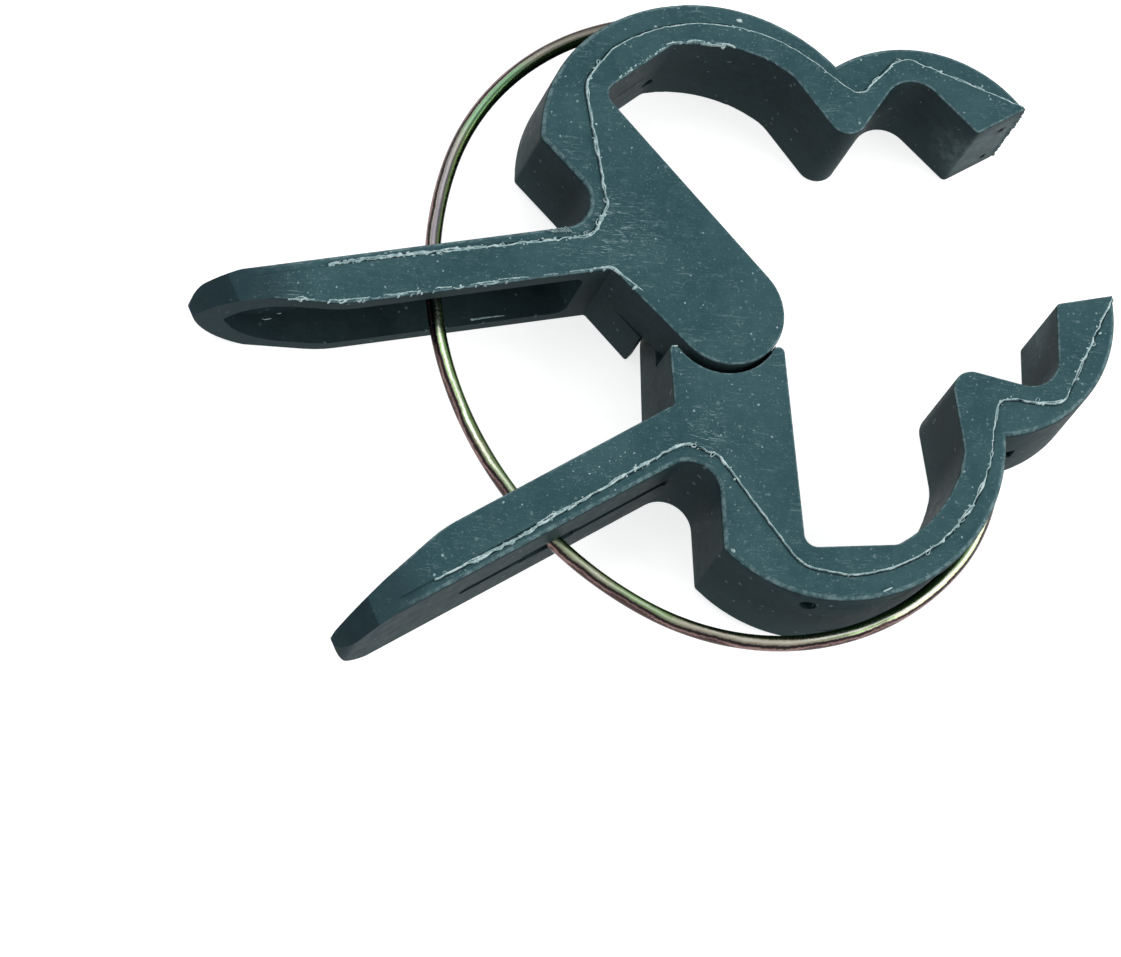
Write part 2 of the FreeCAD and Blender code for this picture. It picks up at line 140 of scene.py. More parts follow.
# ---- tones, linear ----
FACE_DEEP, FACE_PALE = (0.0225, 0.0570, 0.0660), (0.0320, 0.0735, 0.0825)
FACE_MOTTLE, FACE_GRAIN = (0.040, 0.084, 0.092), (0.08, 0.135, 0.14)
# sides of the jaws: the plastic's tone darkened with painted shade
SHADED_WALL_DEEP, SHADED_WALL_PALE = (0.0105, 0.0215, 0.0245), (0.0175, 0.0315, 0.0345)
SHADED_WALL_LOW, SHADED_WALL_KNUCKLE = (0.028, 0.046, 0.049), (0.036, 0.060, 0.064)
CHALK_DEEP, CHALK_PALE, PIT_SHADE = (0.022, 0.040, 0.044), (0.060, 0.086, 0.090), (0.008, 0.014, 0.016)
# the worn tone is wear and also a painted edge highlight
SCRATCHED, DUSTY, WORN_AND_HIGHLIT = (0.24, 0.33, 0.34), (0.36, 0.47, 0.48), (0.20, 0.29, 0.30)
# painted shade on the handle's rounded end
HANDLE_TIP_SHADE = (0.016, 0.030, 0.036)
# the palest flash tone is whitened plastic and painted glints
FLASH_DEEP, FLASH_PALE, FLASH_FLECK_AND_GLINT = (0.13, 0.23, 0.24), (0.38, 0.49, 0.49), (0.66, 0.71, 0.69)
TORN = (0.020, 0.040, 0.044), (0.085, 0.125, 0.130)
# dark tones of painted shade: the shadow beside the flash and the shade in the knuckle's gap
PAINTED_SHADE_TONES = (0.0035, 0.0090, 0.0105), (0.012, 0.030, 0.034)
PAPER = (0.53, 0.53, 0.525), (0.56, 0.56, 0.555)
WIRE_CREAM, WIRE_GREEN = (0.34, 0.31, 0.23), (0.19, 0.35, 0.12)
WIRE_DULL, WIRE_LEAF = (0.165, 0.155, 0.125), (0.080, 0.190, 0.095)
WIRE_VIOLET = (0.125, 0.110, 0.125)
# the darkest tone, on the inside of the ring, is a painted reflection
WIRE_INSIDE_REFLECTION, WIRE_OLIVE = (0.020, 0.028, 0.014), (0.13, 0.20, 0.07)
# the bright tone is a painted highlight
WIRE_PAINTED_HIGHLIGHT, WIRE_GRIME = (0.90, 0.88, 0.76), (0.22, 0.19, 0.15)
# painted reflections on the outside of the wire, in dark and pinkish bands
WIRE_OUTER_REFLECTIONS = [                                    # start, full at, tone
    (0.36, 0.48, (0.20, 0.18, 0.15)),
    (0.48, 0.58, (0.030, 0.025, 0.023)),
    (0.75, 0.83, (0.20, 0.125, 0.120)),
    (0.90, 0.97, (0.055, 0.036, 0.034)),
]
FACE_SPECKS = [                                         # cells per mm, size, share, strength
    (5.0, 0.26, 0.38, 0.11),
    (2.3, 0.125, 0.30, 0.24),
    (0.95, 0.075, 0.34, 0.54),
]


# ---------------------------------------------------------------- lines and meshes
def on_circle(centre, radius, degrees):
    a = math.radians(degrees)
    return (centre[0] + radius * math.cos(a), centre[1] + radius * math.sin(a))


def arc(centre, radius, start, end, count):
    """Points from one angle to another, both included."""
    return [on_circle(centre, radius, start + (end - start) * k / count) for k in range(count + 1)]


def turned_over(points):
    """The same line on the lower jaw, which is the upper one turned over."""
    return [(x, -y) for x, y in points]


def heading(line, i):
    """Direction of a line at one of its points."""
    before = line[max(i - 1, 0)]
    after = line[min(i + 1, len(line) - 1)]
    return Vector((after[0] - before[0], after[1] - before[1])).normalized()


def sample_line(points, step=LINE_STEP):
    """Evenly spaced points along a polyline."""
    out = [points[0]]
    left = step
    for a, b in zip(points, points[1:]):
        length = math.dist(a, b)
        at = left
        while at <= length:
            t = at / length
            out.append(tuple(p + (q - p) * t for p, q in zip(a, b)))
            at += step
        left = at - length
    return out


def rounded(points):
    """Polyline through (point, radius) corners, each corner an arc of its radius."""
    out = [points[0][0]]
    for (a, _), (p, r), (b, _) in zip(points, points[1:], points[2:]):
        if r == 0:
            out.append(p)
            continue
        u = Vector(a) - Vector(p)
        w = Vector(b) - Vector(p)
        half = u.angle(w) / 2
        reach = min(r / math.tan(half), 0.48 * u.length, 0.48 * w.length)
        r = reach * math.tan(half)
        u.normalize()
        w.normalize()
        centre = Vector(p) + (u + w).normalized() * (r / math.sin(half))
        start = Vector(p) + u * reach - centre
        end = Vector(p) + w * reach - centre
        for k in range(9):
            spoke = start.lerp(end, k / 8).normalized() * r
            out.append(tuple(centre + spoke))
    out.append(points[-1][0])
    return out


def offset_line(line, distance):
    """The line moved sideways by distance(s), to its left, where s runs from 0 to 1."""
    out = []
    for i, point in enumerate(line):
        along = heading(line, i)
        gap = distance(i / (len(line) - 1))
        out.append((point[0] - along.y * gap, point[1] + along.x * gap))
    return out


def parting_path():
    """The upper jaw's parting line, from its tip over the hoop to the handle."""
    over_hoop = [(point, 0.0) for point in arc(*PARTING_HOOP, 24)]
    return rounded(PARTING_BEFORE_HOOP + over_hoop + PARTING_AFTER_HOOP)


def new_mesh(name, verts, faces, material, smooth=True, outward=False):
    """A mesh object from millimetres, with its normals turned outward if asked."""
    mesh = bpy.data.meshes.new(name)
    mesh.from_pydata([tuple(c * MM for c in v) for v in verts], [], faces)
    if outward:
        shell = bmesh.new()
        shell.from_mesh(mesh)
        bmesh.ops.recalc_face_normals(shell, faces=shell.faces)
        shell.to_mesh(mesh)
        shell.free()
    mesh.validate()
    mesh.update()
    if smooth:
        mesh.polygons.foreach_set("use_smooth", [True] * len(mesh.polygons))
    piece = bpy.data.objects.new(name, mesh)
    bpy.context.scene.collection.objects.link(piece)
    mesh.materials.append(material)
    return piece


def skin(faces, first, sections, sides):
    """Faces of a closed tube: sections of so many sides each, with both ends capped."""
    for section in range(sections - 1):
        for k in range(sides):
            a = first + section * sides + k
            b = first + section * sides + (k + 1) % sides
            faces.append((a, b, b + sides, a + sides))
    faces.append(tuple(first + k for k in range(sides)))
    faces.append(tuple(first + (sections - 1) * sides + k for k in range(sides)))


def wander(rng, knots):
    """A smooth random function of s from 0 to 1, with values from 0 to 1."""
    values = [rng.random() for _ in range(knots)]

    def value(s):
        at = s * (knots - 1)
        i = min(int(at), knots - 2)
        t = at - i
        t = t * t * (3 - 2 * t)
        return values[i] * (1 - t) + values[i + 1] * t
    return value


# ---------------------------------------------------------------- node materials
class Nodes:
    """Short calls for building a node material."""

    def __init__(self, name):
        self.material = bpy.data.materials.new(name)
        self.material.use_nodes = True
        self.tree = self.material.node_tree
        self.shader = self.tree.nodes["Principled BSDF"]

    def add(self, kind, **settings):
        node = self.tree.nodes.new(kind)
        for key, value in settings.items():
            setattr(node, key, value)
        return node

    def link(self, source, target):
        self.tree.links.new(source, target)

    def put(self, socket, value):
        """Link a socket, or set a constant."""
        if isinstance(value, bpy.types.NodeSocket):
            self.link(value, socket)
        else:
            socket.default_value = value

    def coords(self, scale=(1.0, 1.0, 1.0), turn=0.0):
        """Object coordinates in millimetres, turned about Z and then scaled."""
        source = self.add("ShaderNodeTexCoord")
        turned = self.add("ShaderNodeMapping")
        self.link(source.outputs["Object"], turned.inputs["Vector"])
        turned.inputs["Rotation"].default_value = (0.0, 0.0, math.radians(turn))
        scaled = self.add("ShaderNodeMapping")
        self.link(turned.outputs["Vector"], scaled.inputs["Vector"])
        scaled.inputs["Scale"].default_value = tuple(s / MM for s in scale)
        return scaled.outputs["Vector"]

    def normal(self):
        return self.add("ShaderNodeTexCoord").outputs["Normal"]

    def split(self, vector):
        """The X, Y and Z of a vector."""
        node = self.add("ShaderNodeSeparateXYZ")
        self.link(vector, node.inputs[0])
        return node.outputs

    def vector(self, operation, a, b=(0.0, 0.0, 0.0)):
        node = self.add("ShaderNodeVectorMath", operation=operation)
        self.link(a, node.inputs[0])
        self.put(node.inputs[1], b)
        return node.outputs

    def math(self, operation, a, b=0.0):
        node = self.add("ShaderNodeMath", operation=operation)
        self.put(node.inputs[0], a)
        self.put(node.inputs[1], b)
        return node.outputs[0]

    def highest(self, values):
        top = values[0]
        for value in values[1:]:
            top = self.math("MAXIMUM", top, value)
        return top

    def noise(self, vector, scale, detail=2.0, roughness=0.5, distortion=0.0, output="Fac"):
        node = self.add("ShaderNodeTexNoise")
        self.link(vector, node.inputs["Vector"])
        node.inputs["Scale"].default_value = scale
        node.inputs["Detail"].default_value = detail
        node.inputs["Roughness"].default_value = roughness
        node.inputs["Distortion"].default_value = distortion
        return node.outputs[output]

    def ramp(self, value, low, high, to_low=0.0, to_high=1.0):
        node = self.add("ShaderNodeMapRange", interpolation_type="SMOOTHSTEP")
        self.put(node.inputs["Value"], value)
        node.inputs["From Min"].default_value = low
        node.inputs["From Max"].default_value = high
        node.inputs["To Min"].default_value = to_low
        node.inputs["To Max"].default_value = to_high
        return node.outputs["Result"]

    def mix(self, factor, a, b):
        """From tone a to tone b as the factor goes from 0 to 1."""
        node = self.add("ShaderNodeMix", data_type="RGBA")
        self.put(node.inputs["Factor"], factor)
        for socket, value in ((node.inputs[6], a), (node.inputs[7], b)):
            self.put(socket, value if isinstance(value, bpy.types.NodeSocket) else (*value, 1.0))
        return node.outputs[2]

    def bump(self, height, depth, strength, under=None):
        """Relief of so many millimetres, on top of another one if given."""
        node = self.add("ShaderNodeBump")
        self.link(height, node.inputs["Height"])
        node.inputs["Distance"].default_value = depth * MM
        node.inputs["Strength"].default_value = strength
        if under is not None:
            self.link(under, node.inputs["Normal"])
        return node.outputs["Normal"]

    def surface(self, tone, roughness, relief, specular=None):
        """Plug the finished tone, roughness and relief into the shader."""
        self.link(tone, self.shader.inputs["Base Color"])
        self.put(self.shader.inputs["Roughness"], roughness)
        self.link(relief, self.shader.inputs["Normal"])
        if specular is not None:
            self.shader.inputs["Specular IOR Level"].default_value = specular


def around(n, place, centre, inner, outer):
    """1 within inner millimetres of a point, falling to 0 at outer."""
    gap = n.vector("DISTANCE", place, centre)["Value"]
    return n.ramp(gap, inner, outer, 1.0, 0.0)


def inside_any(n, place, zones):
    return n.highest([around(n, place, *zone) for zone in zones])


def specks(n, vector, scale, size, share, flat=False):
    """Dust: small round dots in a share of the cells of a Voronoi pattern."""
    cells = n.add("ShaderNodeTexVoronoi", voronoi_dimensions="2D" if flat else "3D")
    n.link(vector, cells.inputs["Vector"])
    cells.inputs["Scale"].default_value = scale
    luck = n.add("ShaderNodeSeparateColor")
    n.link(cells.outputs["Color"], luck.inputs[0])
    reach = n.math("MULTIPLY", n.math("ADD", luck.outputs[1], 0.35), size)
    near = n.ramp(n.math("DIVIDE", cells.outputs["Distance"], reach), 0.55, 1.0, 1.0, 0.0)
    chosen = n.math("GREATER_THAN", share, luck.outputs[0])
    return n.math("MULTIPLY", near, chosen)


def facing_out(n, spot):
    """1 on the two outer faces, 0 on the sides and on level floors inside the part."""
    tilt = n.math("ABSOLUTE", n.split(n.normal())["Z"])
    off_middle = n.math("ABSOLUTE", n.math("SUBTRACT", spot["Z"], MID))
    return n.math("MULTIPLY", tilt, n.ramp(off_middle, 2.9, 3.15))


def face_tone(n, place, mottle, grain):
    """Cloudy, mottled and grainy tone of the moulded faces."""
    cloud = n.noise(place, 0.16, 3.0, 0.6)
    tone = n.mix(n.ramp(cloud, 0.35, 0.68), FACE_DEEP, FACE_PALE)
    tone = n.mix(n.ramp(mottle, 0.42, 0.72, 0.0, 0.46), tone, FACE_MOTTLE)
    return n.mix(n.ramp(grain, 0.50, 0.78, 0.0, 0.30), tone, FACE_GRAIN)


def shaded_wall_tone(n, where, spot, mottle):
    """Sides: the plastic darkened with painted shade, less so towards the back face and round the
    knuckle; chalky on the tips' end faces, with painted shade in two pits.
    """
    wall = n.mix(n.ramp(mottle, 0.35, 0.70), SHADED_WALL_DEEP, SHADED_WALL_PALE)
    wall = n.mix(n.ramp(spot["Z"], 0.0, 4.5, 0.40, 0.0), wall, SHADED_WALL_LOW)
    knuckle = n.math("MULTIPLY", around(n, where, *KNUCKLE_ZONE), n.ramp(spot["Z"], 4.0, 4.6))
    knuckle = n.math("MULTIPLY", knuckle, n.ramp(spot["Y"], -0.4, -1.6))
    wall = n.mix(knuckle, wall, SHADED_WALL_KNUCKLE)
    chalk = n.mix(n.ramp(mottle, 0.35, 0.65), CHALK_DEEP, CHALK_PALE)
    # two dark spots: painted shade of pits
    chalk = n.mix(inside_any(n, where, END_PIT_SHADE), chalk, PIT_SHADE)
    return n.mix(inside_any(n, where, CHALKY_ENDS), wall, chalk)


def scratches(n, place, where, side):
    """Short scratches two ways: most in the scuffed zones, some in drifts, few on the sides."""
    one_way = n.noise(n.coords((0.42, 2.6, 2.6), 23.0), 2.2, 4.0, 0.75, 1.2)
    other_way = n.noise(n.coords((2.4, 0.7, 2.4), 40.0), 2.0, 4.0, 0.75, 1.4)
    marks = n.highest([n.ramp(one_way, 0.54, 0.66), n.ramp(other_way, 0.60, 0.68, 0.0, 0.5)])
    drifts = n.ramp(n.noise(place, 0.42, 3.0, 0.6), 0.46, 0.66, 0.10, 0.42)
    amount = n.highest([inside_any(n, where, SCUFFS), drifts])
    fewer = n.ramp(side, 0.0, 1.0, 0.70, 0.12)
    return n.math("MULTIPLY", marks, n.math("MULTIPLY", amount, fewer))


def dust(n, place, level):
    """Specks of three sizes on the faces, thicker in drifts, and a few faint ones all over."""
    drift = n.ramp(n.noise(place, 0.30, 3.0, 0.7), 0.40, 0.68, 0.35, 1.0)
    push = n.add("ShaderNodeVectorMath", operation="SCALE")
    n.link(n.noise(place, 5.0, output="Color"), push.inputs[0])
    push.inputs["Scale"].default_value = 0.22
    warped = n.vector("ADD", place, push.outputs[0])[0]
    sizes = []
    for scale, size, share, strength in FACE_SPECKS:
        dots = specks(n, warped, scale, size, n.math("MULTIPLY", drift, share), True)
        sizes.append(n.math("MULTIPLY", dots, strength))
    on_faces = n.math("MULTIPLY", n.highest(sizes), n.ramp(level, 0.93, 0.99))
    stray = specks(n, warped, 1.6, 0.20, n.math("MULTIPLY", drift, 0.5))
    return n.highest([on_faces, n.math("MULTIPLY", stray, 0.16)])


def worn_and_highlit_edges(n, place, spot, level):
    """Patchy pale tone where the faces turn down into the sides, short of the handle's end: wear
    and a painted edge highlight.
    """
    turning = n.math("MULTIPLY", n.ramp(level, 0.30, 0.62), n.ramp(level, 0.88, 0.99, 1.0, 0.0))
    turning = n.math("MULTIPLY", turning, n.ramp(spot["X"], -28.9, -28.3))
    patches = n.ramp(n.noise(place, 1.9, 5.0, 0.8), 0.42, 0.60, 0.12, 1.0)
    return n.math("MULTIPLY", turning, n.math("MULTIPLY", patches, 0.46))


def jaw_plastic(name, seed):
    """Moulded plastic: matt faces, sides darkened with painted shade, scuffs, dust, worn edges
    with a painted highlight, and handle ends without wear, darkened with painted shade.
    """
    n = Nodes(name)
    where = n.coords()
    spot = n.split(where)
    place = n.vector("ADD", where, (seed * 17.3, seed * 9.1, seed * 5.7))[0]
    level = facing_out(n, spot)
    side = n.ramp(level, 0.25, 0.80, 1.0, 0.0)
    mottle = n.noise(place, 1.1, 4.0, 0.65)
    grain = n.noise(place, 9.0, 3.0, 0.7)
    scratch = scratches(n, place, where, side)
    specked = dust(n, place, level)
    # the sides take the wall tone, which carries painted shade
    tone = n.mix(side, face_tone(n, place, mottle, grain), shaded_wall_tone(n, where, spot, mottle))
    tone = n.mix(scratch, tone, SCRATCHED)
    tone = n.mix(specked, tone, DUSTY)
    # pale rounded edges: wear and a painted edge highlight
    tone = n.mix(worn_and_highlit_edges(n, place, spot, level), tone, WORN_AND_HIGHLIT)
    # the handle's end darkened: painted shade
    tone = n.mix(n.ramp(spot["X"], -29.0, -25.5, 0.55, 0.0), tone, HANDLE_TIP_SHADE)
    uneven = n.math("ADD", n.math("MULTIPLY", mottle, 0.7), n.math("MULTIPLY", grain, 0.3))
    relief = n.bump(n.math("ADD", specked, scratch), 0.02, 0.6, n.bump(uneven, 0.035, 0.6))
    n.surface(tone, n.ramp(mottle, 0.3, 0.8, 0.42, 0.58), relief, specular=0.02)
    return n.material


def flash_plastic():
    """Thin plastic, drawn out and pale, with paler flecks: whitened plastic and painted glints."""
    n = Nodes("flash_plastic")
    place = n.coords()
    patch = n.noise(place, 2.2, 4.0, 0.7)
    fine = n.noise(place, 12.0, 3.0, 0.7)
    tone = n.mix(n.ramp(patch, 0.40, 0.64), FLASH_DEEP, FLASH_PALE)
    # paler flecks: whitened plastic and painted glints
    tone = n.mix(n.ramp(fine, 0.50, 0.76, 0.0, 0.65), tone, FLASH_FLECK_AND_GLINT)
    n.surface(tone, 0.42, n.bump(fine, 0.02, 0.7))
    return n.material


def patchy(name, noise, span, tones, roughness, depth, strength):
    """A dull material that wanders between two tones, with matching relief."""
    n = Nodes(name)
    patch = n.noise(n.coords(), *noise)
    tone = n.mix(n.ramp(patch, *span), *tones)
    n.surface(tone, roughness, n.bump(patch, depth, strength), specular=0.1)
    return n


def zinc_wire():
    """Yellow zinc tints with painted reflections: a painted highlight and dark and pinkish bands,
    from the inside of the ring (-1) to its outside (1).
    """
    n = Nodes("zinc_wire")
    place = n.coords()
    outward = n.vector("NORMALIZE", n.vector("SUBTRACT", place, RING_MIDDLE)[0])[0]
    turn = n.vector("DOT_PRODUCT", outward, n.normal())["Value"]
    slow = n.noise(place, 0.22, 2.0, 0.5)
    fine = n.noise(place, 3.0, 4.0, 0.7)
    turn = n.math("ADD", turn, n.ramp(slow, 0.3, 0.7, -0.14, 0.14))
    turn = n.math("ADD", turn, n.ramp(fine, 0.3, 0.7, -0.05, 0.05))
    tint = n.mix(n.ramp(n.noise(place, 0.10, 1.0, 0.5), 0.42, 0.56), WIRE_CREAM, WIRE_GREEN)
    # the stretch by the upper hoop is duller: greyish brown, then green, then greyish violet
    upper = n.ramp(n.split(place)["Y"], 7.0, 11.0)
    tint = n.mix(upper, tint, n.mix(around(n, place, *GREEN_WIRE), WIRE_DULL, WIRE_LEAF))
    tint = n.mix(around(n, place, *VIOLET_WIRE), tint, WIRE_VIOLET)
    # painted highlight: a bright band across the wire, patchy along it and weaker by the upper
    # hoop
    painted_highlight = n.ramp(n.math("ABSOLUTE", n.math("SUBTRACT", turn, 0.10)), 0.06, 0.26, 1.0, 0.0)
    uneven = n.ramp(n.noise(place, 0.16, 2.0, 0.5), 0.36, 0.60, 0.30, 0.95)
    painted_highlight = n.math("MULTIPLY", painted_highlight, uneven)
    painted_highlight = n.math("MULTIPLY", painted_highlight, n.ramp(upper, 0.0, 1.0, 1.0, 0.12))
    # painted reflection: dark on the inside of the ring, olive towards the tint
    tone = n.mix(n.ramp(turn, -0.88, -0.66), WIRE_INSIDE_REFLECTION, WIRE_OLIVE)
    tone = n.mix(n.ramp(turn, -0.50, -0.12), tone, tint)
    tone = n.mix(painted_highlight, tone, WIRE_PAINTED_HIGHLIGHT)
    # painted reflections in bands on the outside of the ring
    for start, full, band in WIRE_OUTER_REFLECTIONS:
        tone = n.mix(n.ramp(turn, start, full), tone, band)
    tone = n.mix(n.ramp(fine, 0.58, 0.80, 0.0, 0.25), tone, WIRE_GRIME)
    drawn = n.noise(place, 5.0, 2.0, 0.6)
    n.surface(tone, n.ramp(fine, 0.3, 0.8, 0.18, 0.32), n.bump(drawn, 0.01, 0.35))
    n.shader.inputs["Metallic"].default_value = 1.0
    return n.material


# ---------------------------------------------------------------- flash and burrs
class Ridges:
    """Collects ragged ridges and chips of one face of one jaw into one mesh, in millimetres."""

    def __init__(self, rng, front=True):
        self.rng = rng
        self.up = 1 if front else -1
        self.base = THICKNESS - PARTING_STEP - SUNK if front else PARTING_STEP + SUNK
        self.verts = []
        self.faces = []

    def ridge(self, line, width, height, jitter=0.0, base=None):
        """A ridge along a line: width and height are (s) -> mm, s from 0 to 1."""
        base = self.base if base is None else base
        first = len(self.verts)
        last = len(line) - 1
        drift = 0.0
        for i, point in enumerate(line):
            along = heading(line, i)
            across = Vector((-along.y, along.x))
            drift += self.rng.uniform(-jitter, jitter) - 0.15 * drift
            w = width(i / last)
            h = height(i / last)
            if i in (0, last):
                w *= 0.25
                h *= 0.7
            for u, v in RIDGE_PROFILE:
                at = Vector(point[:2]) + across * (u * w + drift)
                self.verts.append((at.x, at.y, base + self.up * v * h))
        skin(self.faces, first, len(line), len(RIDGE_PROFILE))

    def chip(self, at, size, height, base=None, stretch=1.0, turn=0.0):
        """A small irregular crumb, stretched along a direction."""
        base = self.base if base is None else base
        first = len(self.verts)
        corners = 7
        reach = [size * self.rng.uniform(0.35, 0.62) for _ in range(corners)]
        for share, level in ((1.0, 0.0), (0.85, 0.7), (0.4, 1.0)):
            for k in range(corners):
                a = 2 * math.pi * k / corners
                u = math.cos(a) * reach[k] * share * stretch
                v = math.sin(a) * reach[k] * share
                x = at[0] + u * math.cos(turn) - v * math.sin(turn)
                y = at[1] + u * math.sin(turn) + v * math.cos(turn)
                self.verts.append((x, y, base + self.up * level * height))
        skin(self.faces, first, 3, corners)

    def piece(self, name, material, body):
        piece = new_mesh(name, self.verts, self.faces, material, outward=True)
        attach(piece, body)


def ragged_at(x, stretches):
    for end, amount in stretches:
        if x >= end:
            return amount
    return stretches[-1][1]


def strands(ridges, line, stretches, density=1.0):
    """Loose strands, loops and crumbs beside a line, more where the flash is more ragged."""
    rng = ridges.rng
    per_mm = 1 / math.dist(line[0], line[1])
    full = PARTING_STEP + PROUD
    for i in range(0, len(line) - 1, max(1, round(per_mm * 0.5))):
        x, y = line[i][:2]
        if x > TIP_X:
            continue
        amount = ragged_at(x, stretches) * density
        if rng.random() < 0.55 * amount:
            reach = int(rng.uniform(0.5, 2.0) * per_mm)
            part = line[i:i + reach]
            if len(part) > 5:
                lift = rng.uniform(0.05, 0.16) * rng.choice((-1, 1))
                bow = offset_line(part, lambda s: lift * math.sin(math.pi * s) ** 0.7)
                thick = rng.uniform(0.07, 0.13)
                ridges.ridge(bow, lambda s: thick * (1.25 - 0.6 * s), lambda s: full, 0.010)
        if rng.random() < 0.13 * amount:
            loop(ridges, line[i], rng.uniform(0.13, 0.26), rng.uniform(0.08, 0.13), full)
        for _ in range(3):
            if rng.random() < 0.55 * amount:
                aside = rng.gauss(0.0, 0.10)
                at = (x + rng.uniform(-0.25, 0.25), y + aside)
                size = rng.uniform(0.10, 0.27) * (1.0 - min(0.6, 2.2 * abs(aside)))
                stretch = rng.uniform(1.0, 2.0)
                ridges.chip(at, size, full + SUNK, None, stretch, rng.uniform(-0.6, 0.6))


def loop(ridges, at, long_r, short_r, height):
    """A closed curl of thin flash."""
    rng = ridges.rng
    turn = rng.uniform(0, math.pi)
    shift = (rng.uniform(-0.14, 0.14), rng.uniform(-0.14, 0.14))
    line = []
    for k in range(17):
        a = 2 * math.pi * k / 16
        u = long_r * math.cos(a)
        v = short_r * math.sin(a)
        x = at[0] + shift[0] + u * math.cos(turn) - v * math.sin(turn)
        y = at[1] + shift[1] + u * math.sin(turn) + v * math.cos(turn)
        line.append((x, y))
    ridges.ridge(line, lambda s: 0.07, lambda s: height, 0.004)


def stroke(ridges, start, degrees, length, width=0.05, bend=0.0):
    """One raised scratch."""
    line = [on_circle(start, length * k / 8, degrees) for k in range(9)]
    line = offset_line(line, lambda s: bend * math.sin(math.pi * s))
    ridges.ridge(line, lambda s: width * (1.2 - 0.5 * s), lambda s: PARTING_STEP + PROUD, 0.004)


def flash(jaw, seed, front, pale, dark):
    """The ridge left on one face's parting line, with its curls, and a dark ribbon beside it:
    painted shadow of the parting step.
    """
    rng = random.Random(seed)
    ridges = Ridges(rng, front)
    lower = jaw == "lower"
    stretches = PARTING_RAGGED[jaw] if front else BACK_RAGGED
    line = [point for point in sample_line(parting_path()) if point[0] > FLASH_END_X[jaw]]
    if lower:
        line = turned_over(line)
    swell = wander(rng, 90)
    notch = wander(rng, 160)

    def amount(s):
        return ragged_at(line[round(s * (len(line) - 1))][0], stretches)

    def width(s):
        return FLASH_WIDTH + 0.21 * amount(s) * swell(s) ** 2 + 0.03 * notch(s)

    def height(s):
        thin = 1.0 if notch(s) > 0.10 else 0.9
        return (PARTING_STEP + PROUD * (0.6 + 0.4 * swell(s))) * thin

    shaky = offset_line(line, lambda s: (notch(s) - 0.5) * (0.05 + 0.15 * amount(s)))
    ridges.ridge(shaky, width, height, 0.006)
    strands(ridges, line, stretches)
    side = "front" if front else "back"
    ridges.piece("flash_%s_%s" % (jaw, side), pale, jaw)

    # a dark ribbon beside the flash: painted shadow of the parting step
    step_shadow = Ridges(rng, front)
    outward = 1 if lower else -1
    beside = offset_line(line, lambda s: outward * (FLASH_WIDTH + 0.03 * notch(s)))
    step_shadow.ridge(beside, lambda s: 0.085, lambda s: 0.018, 0.004)
    step_shadow.piece("seam_%s_%s" % (jaw, side), dark, jaw)


def upper_burrs(ridges, top):
    """Flash on the handle's inner edge and root, on the cavity's edge, and a few marks."""
    rng = ridges.rng
    edge = sample_line(rounded(HANDLE_INNER_EDGE))
    swell = wander(rng, 60)
    run = 0
    while run < len(edge) - 12:
        length = rng.randint(12, 50)
        part = edge[run:run + length]
        heavy = 1.0 if HEAVY_BURRS[0] < part[0][0] < HEAVY_BURRS[1] else 0.5
        thick = rng.uniform(0.07, 0.14) * heavy + 0.03
        part = offset_line(part, lambda s: -0.05 * swell(s))
        ridges.ridge(part, lambda s: thick, lambda s: top * 0.95, 0.012)
        run += length + rng.randint(2, 22)
    strands(ridges, edge, INNER_EDGE_RAGGED, 0.7)
    for k in range(8):
        stroke(ridges, (-7.9 - 0.16 * k, 8.25 + 0.05 * k), 118 + 4 * k, rng.uniform(0.35, 0.6))
    centre, radius, start, end = CAVITY_EDGE
    strands(ridges, arc(centre, radius + 0.06, start, end, 60), CAVITY_RAGGED)
    root = sample_line(rounded(HANDLE_ROOT_EDGE))
    ridges.ridge(root, lambda s: 0.10 + 0.10 * swell(s), lambda s: top * 0.93, 0.008)
    strands(ridges, root, ROOT_RAGGED, 0.5)
    ridges.chip((9.4, 18.95), 0.30, top - 0.04, None, 1.6, -0.5)
    for k in range(20):
        x = 3.6 - 0.20 * k + rng.uniform(-0.1, 0.1)
        y = CAVITY_TOP[1] + CAVITY_ROOF_SLOPE * (x - CAVITY_TOP[0]) + rng.uniform(0.12, 0.24)
        size = rng.uniform(0.07, 0.19)
        ridges.chip((x, y), size, top - 0.01, None, rng.uniform(1.0, 2.2), 0.29)


def lower_burrs(ridges, top):
    """Crumbs in a line along the handle, and a few scratches and chips."""
    rng = ridges.rng
    crumbs = turned_over(sample_line(rounded(HANDLE_FACE_LINE)))
    for x, y in crumbs[::7]:
        if rng.random() < 0.30:
            at = (x, y + rng.uniform(-0.12, 0.12))
            size = rng.uniform(0.05, 0.14)
            stretch = rng.uniform(1.0, 2.2)
            ridges.chip(at, size, top, None, stretch, rng.uniform(-0.5, 0.1))
    for k in range(3):
        stroke(ridges, (-5.85 + 0.22 * k, -7.55 - 0.19 * k), -22 + 4 * k, 0.40, 0.035)
    stroke(ridges, (-6.00, -6.45), -62, 0.60, 0.04, 0.08)
    stroke(ridges, (-4.75, -1.22), -14, 0.44, 0.12)
    ridges.chip((-4.35, -1.85), 0.16, top)
    ridges.chip((-6.62, -15.56), 0.20, top + 0.12, 7.70, 2.4, -1.03)
    stroke(ridges, (1.85, -21.34), 4, 0.70, 0.10)


def burrs(jaw, seed, pale):
    """Ragged moulding remains away from the parting line, on the front face."""
    ridges = Ridges(random.Random(seed))
    top = THICKNESS + PROUD - ridges.base
    if jaw == "upper":
        upper_burrs(ridges, top)
    else:
        lower_burrs(ridges, top)
    ridges.piece("burrs_%s" % jaw, pale, jaw)


